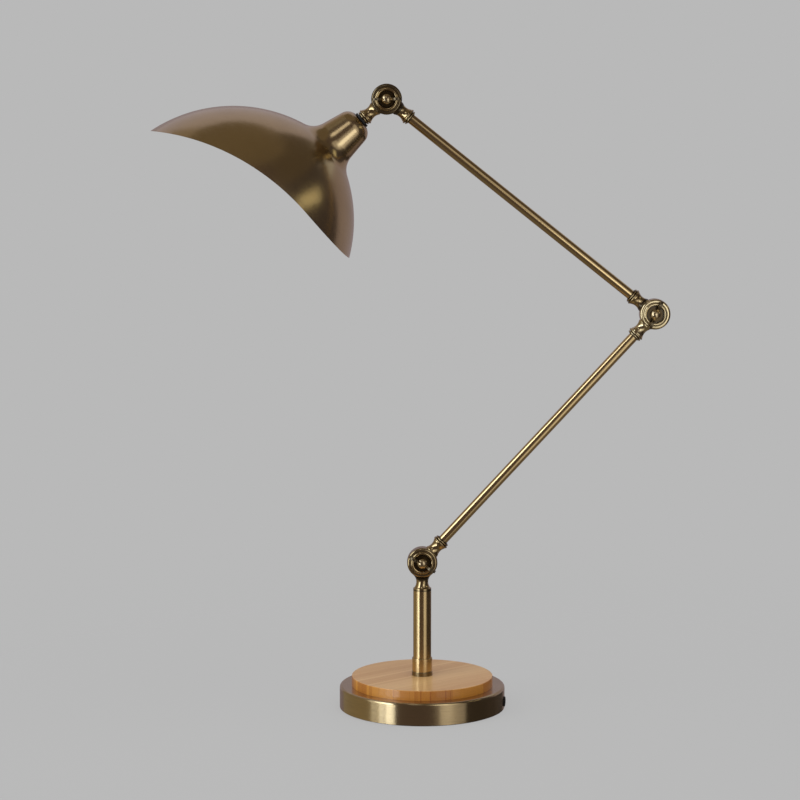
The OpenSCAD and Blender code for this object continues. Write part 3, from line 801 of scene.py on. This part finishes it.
def draw_thread(tree: NodeTree, given: NodeOutputs) -> Node:
    """Winds a round-crested thread up a cylinder.

    Args:
        tree: Geometry Nodes tree.
        given: Its inputs: Radius, Pitch, Turns, Steps, Crest, Sides and Start.

    Returns:
        Node with the thread.
    """
    rise = add(tree, "ShaderNodeMath", {0: given["Pitch"], 1: given["Turns"]}, operation="MULTIPLY")
    path = add(tree, "GeometryNodeCurveSpiral", {
        "Resolution": given["Steps"], "Rotations": given["Turns"], "Start Radius": given["Radius"],
        "End Radius": given["Radius"], "Height": rise})
    crest = add(tree, "GeometryNodeCurvePrimitiveCircle", {
        "Resolution": given["Sides"], "Radius": given["Crest"]})
    wound = add(tree, "GeometryNodeCurveToMesh", {"Curve": path, "Profile Curve": crest, "Fill Caps": True})
    lift = add(tree, "ShaderNodeCombineXYZ", {"Z": given["Start"]})
    moved = add(tree, "GeometryNodeTransform", {"Geometry": wound, "Translation": lift})
    return add(tree, "GeometryNodeSetShadeSmooth", {"Geometry": moved})


@dataclass
class Base:
    """Weighted base: felt pad, plate, weight, brushed shell, cord grommet and bamboo disc."""

    axis: Place = UPRIGHT

    def build(self) -> None:
        """Dresses the pieces from the table up."""
        paint(["base_pad"], FELT)
        paint(["base_plate", "base_screws", "stem_nipple", "stem_washer", "stem_nut"], ZINC)
        paint(["ballast_weight"], IRON)
        dress("base_shell", BASE_BRASS, self.axis)
        paint(["cord_grommet"], RUBBER)
        dress("wood_disc", BAMBOO, self.axis)


@dataclass
class Stem:
    """Turned foot and stem tube with the fixed half of the lower knuckle."""

    pivot: Vector
    axis: Place = UPRIGHT
    ring_mm: float = 4.0
    # Share of the painted dark reflection on that ring
    ring_painted_reflection: float = 0.6
    ring_soft_mm: float = 0.3

    def foot_finish(self) -> Brass:
        """Paints a dark reflection onto the foot's ring where it sits on the wood.

        Returns:
            The stem's finish with that ring.
        """
        low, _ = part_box("stem_foot")
        half_mm = self.ring_mm / 2
        ring = Band(Along.AXIS, low.z / MM + half_mm, half_mm, self.ring_painted_reflection, self.ring_soft_mm)
        return replace(STEM_BRASS, name="brass_antique_turned_foot", bands=(ring,))

    def build(self) -> None:
        """Dresses the foot, the tube and the knuckle half."""
        dress("stem_foot", self.foot_finish(), self.axis)
        dress("stem_tube", STEM_BRASS, self.axis)
        dress("stem_knuckle", REAR_SHADED_BRASS, knuckle_place(self.pivot, -self.axis.axis))
        paint(["pivot_nut_lower"], NUT_BRASS)
        paint(["friction_washer_lower"], FIBRE)
        paint(["stem_leads"], LEAD)


@dataclass
class Arm:
    """One arm: a tube between two knuckle halves, with its leads."""

    name: str
    start: Vector
    end: Vector
    start_half: str
    end_half: str
    start_finish: Brass
    end_finish: Brass
    trim: Sequence[str]
    washers: Sequence[str] = ()

    def build(self) -> None:
        """Dresses the tube, both knuckle halves and what rides on them."""
        along = (self.end - self.start).normalized()
        dress(f"{self.name}_tube", TUBE_BRASS, Place(self.start, along))
        dress(f"{self.name}_{self.start_half}", self.start_finish, knuckle_place(self.start, along))
        dress(f"{self.name}_{self.end_half}", self.end_finish, knuckle_place(self.end, -along))
        paint([f"{self.name}_leads"], LEAD)
        paint(self.trim, NUT_BRASS)
        paint(self.washers, FIBRE)


@dataclass
class Head:
    """Hood on its knuckle half, with lampholder and bulb."""

    pivot: Vector
    body: str = "head"
    rib_count: int = 40
    rib_sides: int = 10
    rib_mm: float = 0.6
    rib_share: float = 0.8
    rib_end_mm: float = 2.0
    thread_turns: float = 4.5
    thread_steps: int = 48
    thread_pitch_mm: float = 3.6
    thread_crest_mm: float = 0.9
    thread_sides: int = 12
    thread_sink_mm: float = 0.45
    thread_end_mm: float = 2.0

    def axis(self) -> Place:
        """The hood's axis, from the head pivot through the washer above the hood."""
        return Place(self.pivot, (middle_of("hood_washer") - self.pivot).normalized())

    def build(self) -> None:
        """Dresses the head from the knuckle to the bulb."""
        axis = self.axis()
        dress("head_knuckle", HEAD_SHADED_BRASS, knuckle_place(self.pivot, axis.axis))
        dress("hood", HOOD_BRASS, axis)
        paint(["hub_washer_head"], NUT_BRASS)
        paint(["hood_washer"], RUBBER)
        paint(["head_nipple"], ZINC)
        paint(["head_leads"], LEAD)
        paint(["lampholder_cap", "lampholder_body"], PHENOLIC)
        paint(["lampholder_insert"], PORCELAIN)
        paint(["screw_shell", "centre_contact"], CONTACT)
        paint(["bulb_base"], BULB_METAL)
        paint(["bulb_globe"], OPAL)
        self.grip(axis)
        self.thread(axis)

    def span(self, node: str, axis: Place) -> tuple[float, float, float]:
        """Where a turned CAD node starts and ends along the hood's axis, and its radius.

        Args:
            node: CAD node turned round the axis.
            axis: The hood's axis.

        Returns:
            Start, end and radius in metres.
        """
        local = axis.matrix().inverted() @ frame["nodes"][node].matrix_world
        spots = np.array([local @ v.co for v in frame["nodes"][node].data.vertices])
        radius = np.hypot(spots[:, 0], spots[:, 1]).max()
        return float(spots[:, 2].min()), float(spots[:, 2].max()), float(radius)

    def grip(self, axis: Place) -> None:
        """Ribs the lampholder for the fingers that screw it together.

        Args:
            axis: The hood's axis.
        """
        start, end, radius = self.span("lampholder_body", axis)
        height = self.rib_share * (end - start)
        grow("lampholder_ribs", PHENOLIC, {
            "Count": self.rib_count, "Ring": radius, "Height": height, "Rib": self.rib_mm * MM,
            "Sides": self.rib_sides, "Start": end - height - self.rib_end_mm * MM},
            draw_ribs, axis, self.body)

    def thread(self, axis: Place) -> None:
        """Rolls the thread onto the bulb's base.

        Args:
            axis: The hood's axis.
        """
        _, end, radius = self.span("bulb_base", axis)
        rise = self.thread_pitch_mm * self.thread_turns * MM
        grow("bulb_thread", BULB_METAL, {
            "Radius": radius - self.thread_sink_mm * MM, "Pitch": self.thread_pitch_mm * MM,
            "Turns": self.thread_turns, "Steps": self.thread_steps, "Crest": self.thread_crest_mm * MM,
            "Sides": self.thread_sides, "Start": end - rise - self.thread_end_mm * MM},
            draw_thread, axis, self.body)


@dataclass
class WingScrews:
    """The three clamping screws."""

    pivots: dict[str, Vector]

    def build(self) -> None:
        """Dresses each screw round its pivot."""
        for name, pivot in self.pivots.items():
            dress(f"wing_screw_{name}", SCREW_BRASS, Place(pivot, PIVOT_AXIS, UPRIGHT.axis))


def towards(azimuth: float, elevation: float) -> Vector:
    """Direction from the table, as a unit vector.

    Args:
        azimuth: Degrees round the table, 0 on the camera's side and rising to its right.
        elevation: Degrees above the table.

    Returns:
        The direction in the shared frame.
    """
    turn, rise = math.radians(azimuth), math.radians(elevation)
    return Vector((math.sin(turn) * math.cos(rise), -math.cos(turn) * math.cos(rise), math.sin(rise)))


@dataclass(frozen=True)
class Softbox:
    """A flat studio lamp, placed by the direction in which the object sees it; lengths are in metres."""

    name: str
    azimuth: float
    elevation: float
    distance: float
    width: float
    height: float
    radiance: float
    lights: Lights
    outline: Outline = Outline.OBLONG
    roll: float = 0.0
    colour: str = "#FFFFFF"

    def build(self, aim: Vector) -> None:
        """Hangs the lamp and points it.

        Args:
            aim: Point that it faces.
        """
        lamp = bpy.data.lights.new(self.name, "AREA")
        lamp.shape = self.outline.value
        lamp.size, lamp.size_y = self.width, self.height
        area = self.width * self.height * (math.pi / 4 if self.outline is Outline.OVAL else 1.0)
        lamp.energy = self.radiance * math.pi * area
        lamp.color = linear(self.colour)[:3]
        hung = new_object(self.name, lamp)
        away = towards(self.azimuth, self.elevation)
        hung.location = aim + away * self.distance
        roll = Quaternion((0.0, 0.0, 1.0), math.radians(self.roll))
        hung.rotation_euler = ((-away).to_track_quat("-Z", "Y") @ roll).to_euler()
        hung.visible_camera = False
        hung.visible_glossy = self.lights is Lights.MIRRORS
        hung.visible_diffuse = self.lights is Lights.MATT


@dataclass(frozen=True)
class Flag:
    """A curved dark card round the table that only reflections see."""

    name: str
    azimuths: tuple[float, float]
    elevations: tuple[float, float]
    colour: str
    distance: float = 3.6
    columns: int = 25
    rows: int = 13

    def build(self, aim: Vector) -> None:
        """Bends the card round the aim.

        Args:
            aim: Centre of the bend.
        """
        spots = [aim + self.distance * towards(azimuth, elevation)
                 for elevation in np.linspace(*self.elevations, self.rows)
                 for azimuth in np.linspace(*self.azimuths, self.columns)]
        starts = [row * self.columns + column
                  for row in range(self.rows - 1) for column in range(self.columns - 1)]
        faces = [(s, s + 1, s + self.columns + 1, s + self.columns) for s in starts]
        mesh = bpy.data.meshes.new(self.name)
        mesh.from_pydata(spots, [], faces)
        made = bare_material(self.name)
        glow = add(made.node_tree, "ShaderNodeEmission", {"Color": linear(self.colour), "Strength": 1.0})
        add(made.node_tree, "ShaderNodeOutputMaterial", {"Surface": glow})
        mesh.materials.append(made)
        card = new_object(self.name, mesh)
        card.visible_camera = card.visible_diffuse = card.visible_shadow = False


# Tints of the cool key lamp, the cool middle of the fill and the warm strip
KEY_TINT = "#E7F1FF"
FILL_TINT = "#F1F8FF"
STRIP_TINT = "#FFFAD5"


@dataclass
class Studio:
    """Pale floor and backdrop, soft lamps, dark cards and the camera."""

    backdrop: str = "#B9B9B9"
    fill: float = 0.55
    fill_colour: str = "#FFFFFF"
    aim: Vector = field(default_factory=lambda: Vector((0.0, 0.0, 0.3)))
    camera_place: tuple[float, float, float] = (-0.02285, -2.427, 0.5995)
    camera_tilt_deg: float = 6.6
    lens_mm: float = 108.0
    sensor_mm: float = 36.0
    floor_radius: float = 1.1
    floor_sides: int = 96
    floor_fade: tuple[float, float] = (0.25, 0.95)
    floor_paper: str = "#5F5F5F"
    floor_glow: float = 0.82
    # Azimuth, elevation, distance, width, height and radiance of each lamp
    lamps: Sequence[Softbox] = (
        Softbox("key_core", -50.5, 12.0, 2.5, 0.64, 3.2, 4.1, Lights.MIRRORS, roll=12.0, colour=KEY_TINT),
        Softbox("key_middle", -63.0, 12.0, 2.5, 0.46, 3.2, 2.6, Lights.MIRRORS, roll=12.0, colour=KEY_TINT),
        Softbox("key_edge", -74.8, 12.0, 2.5, 0.57, 3.2, 0.9, Lights.MIRRORS, roll=12.0, colour=KEY_TINT),
        Softbox("key_wash", -60.0, 12.0, 2.5, 1.1, 3.2, 1.75, Lights.MATT),
        Softbox("fill_octabox", 31.0, 8.0, 0.85, 0.70, 1.35, 0.44, Lights.MIRRORS, Outline.OVAL),
        Softbox("fill_core", 27.0, 9.8, 0.89, 0.34, 0.4, 1.5, Lights.MIRRORS, Outline.OVAL, colour=FILL_TINT),
        Softbox("fill_middle", 35.0, -8.0, 0.84, 0.26, 0.5, 0.3, Lights.MIRRORS, Outline.OVAL,
                colour=FILL_TINT),
        Softbox("fill_low", 41.0, -26.0, 0.85, 0.52, 0.5, 0.36, Lights.MIRRORS, Outline.OVAL),
        Softbox("front_high", -13.5, 47.6, 1.7, 0.5, 0.5, 1.1, Lights.MIRRORS, Outline.OVAL),
        Softbox("side_strip", 84.0, 25.0, 2.5, 1.15, 0.4, 0.78, Lights.MIRRORS, colour=STRIP_TINT),
        Softbox("top_softbox", 10.0, 74.0, 1.8, 1.6, 1.2, 1.3, Lights.MATT),
    )
    flags: Sequence[Flag] = (
        Flag("camera_side_card", (-60.0, 60.0), (-38.0, 62.0), "#594F4E"),
        Flag("right_front_card", (60.0, 105.0), (-38.0, -12.0), "#3A3532"),
        Flag("right_low_card", (105.0, 152.0), (-26.0, -12.0), "#3A3532"),
        Flag("right_side_card", (60.0, 120.0), (-12.0, 40.0), "#464044"),
        Flag("right_high_card", (60.0, 145.0), (40.0, 62.0), "#5C5349"),
        Flag("back_low_card", (152.0, 218.0), (-26.0, -12.0), "#7F7272"),
        Flag("back_floor_card", (105.0, 218.0), (-38.0, -26.0), "#7F7272"),
        Flag("back_card", (120.0, 218.0), (-12.0, 24.0), "#998E93"),
        Flag("back_high_card", (145.0, 218.0), (24.0, 62.0), "#B4ADB8"),
        Flag("left_wall_card", (-142.0, -60.0), (-38.0, 30.0), "#90856F"),
        Flag("left_high_card", (-142.0, -95.0), (30.0, 62.0), "#958A80"),
        Flag("ceiling_card", (-180.0, 180.0), (62.0, 89.9), "#746959"),
        Flag("table_card", (-180.0, 180.0), (-89.9, -38.0), "#6E675C"),
    )

    def build(self) -> None:
        """Sets up floor, backdrop, lamps, cards and camera."""
        bpy.context.scene.view_settings.view_transform = "Standard"
        self.world()
        self.floor()
        for piece in (*self.lamps, *self.flags):
            piece.build(self.aim)
        self.camera()

    def world(self) -> None:
        """Pale backdrop for the eye, metal and glass, and an even fill for the rest."""
        world = bpy.data.worlds.new("studio")
        world.use_nodes = True
        tree = world.node_tree
        tree.nodes.clear()
        path = add(tree, "ShaderNodeLightPath").outputs
        eye = add(tree, "ShaderNodeMath", {
            0: path["Is Camera Ray"], 1: path["Is Glossy Ray"]}, operation="MAXIMUM")
        seen = add(tree, "ShaderNodeMath", {0: eye, 1: path["Is Transmission Ray"]}, operation="MAXIMUM")
        shown = add(tree, "ShaderNodeBackground", {"Color": linear(self.backdrop), "Strength": 1.0})
        even = add(tree, "ShaderNodeBackground", {"Color": linear(self.fill_colour), "Strength": self.fill})
        mixed = add(tree, "ShaderNodeMixShader", {"Fac": seen, 1: even, 2: shown})
        add(tree, "ShaderNodeOutputWorld", {"Surface": mixed})
        bpy.context.scene.world = world

    def floor(self) -> None:
        """Round pale floor that keeps the shadow and fades into the backdrop."""
        turns = [i * math.tau / self.floor_sides for i in range(self.floor_sides)]
        rim = [(self.floor_radius * math.cos(a), self.floor_radius * math.sin(a), 0.0) for a in turns]
        mesh = bpy.data.meshes.new("studio_floor")
        mesh.from_pydata(rim, [], [tuple(range(self.floor_sides))])
        made = bare_material("studio_floor_paper")
        tree = made.node_tree
        place = add(tree, "ShaderNodeTexCoord").outputs["Object"]
        away = add(tree, "ShaderNodeVectorMath", {0: place}, operation="LENGTH").outputs["Value"]
        near, far = (share * self.floor_radius for share in self.floor_fade)
        fade = add(tree, "ShaderNodeMapRange", {
            "Value": away, "From Min": near, "From Max": far}, interpolation_type="SMOOTHSTEP")
        paper = add(tree, "ShaderNodeBsdfDiffuse", {"Color": linear(self.floor_paper)})
        glow = add(tree, "ShaderNodeEmission", {"Color": linear(self.backdrop), "Strength": self.floor_glow})
        lit = add(tree, "ShaderNodeAddShader", {0: paper, 1: glow})
        clear = add(tree, "ShaderNodeBsdfTransparent")
        mixed = add(tree, "ShaderNodeMixShader", {"Fac": fade, 1: lit, 2: clear})
        add(tree, "ShaderNodeOutputMaterial", {"Surface": mixed})
        mesh.materials.append(made)
        floor = new_object("studio_floor", mesh)
        floor.visible_glossy = floor.visible_shadow = False

    def camera(self) -> None:
        """Puts the camera where the photograph was taken from."""
        data = bpy.data.cameras.new("camera")
        data.sensor_width = self.sensor_mm
        data.lens = self.lens_mm
        eye = new_object("camera", data)
        eye.location = self.camera_place
        eye.rotation_euler = (math.radians(90.0 - self.camera_tilt_deg), 0.0, 0.0)
        bpy.context.scene.camera = eye


def main() -> None:
    """Builds the sub-assemblies in order, then the studio."""
    logging.basicConfig(level=logging.INFO, format="%(name)s: %(message)s")
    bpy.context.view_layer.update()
    lower, elbow, tilt = (joint_place(n) for n in ("lower_knuckle", "elbow_knuckle", "head_knuckle_tilt"))
    Base().build()
    Stem(lower).build()
    Arm("lower_arm", lower, elbow, "foot_knuckle", "elbow_knuckle", FOOT_SHADED_BRASS, ELBOW_LIT_BRASS,
        ("hub_washer_lower", "hub_washer_elbow")).build()
    Arm("upper_arm", elbow, tilt, "elbow_knuckle", "head_knuckle", REAR_SHADED_BRASS, REAR_SHADED_BRASS,
        ("pivot_nut_elbow", "pivot_nut_head"), ("friction_washer_elbow", "friction_washer_head")).build()
    Head(tilt).build()
    WingScrews({"lower": lower, "elbow": elbow, "head": tilt}).build()
    Studio().build()


if __name__ == "__main__":
    main()
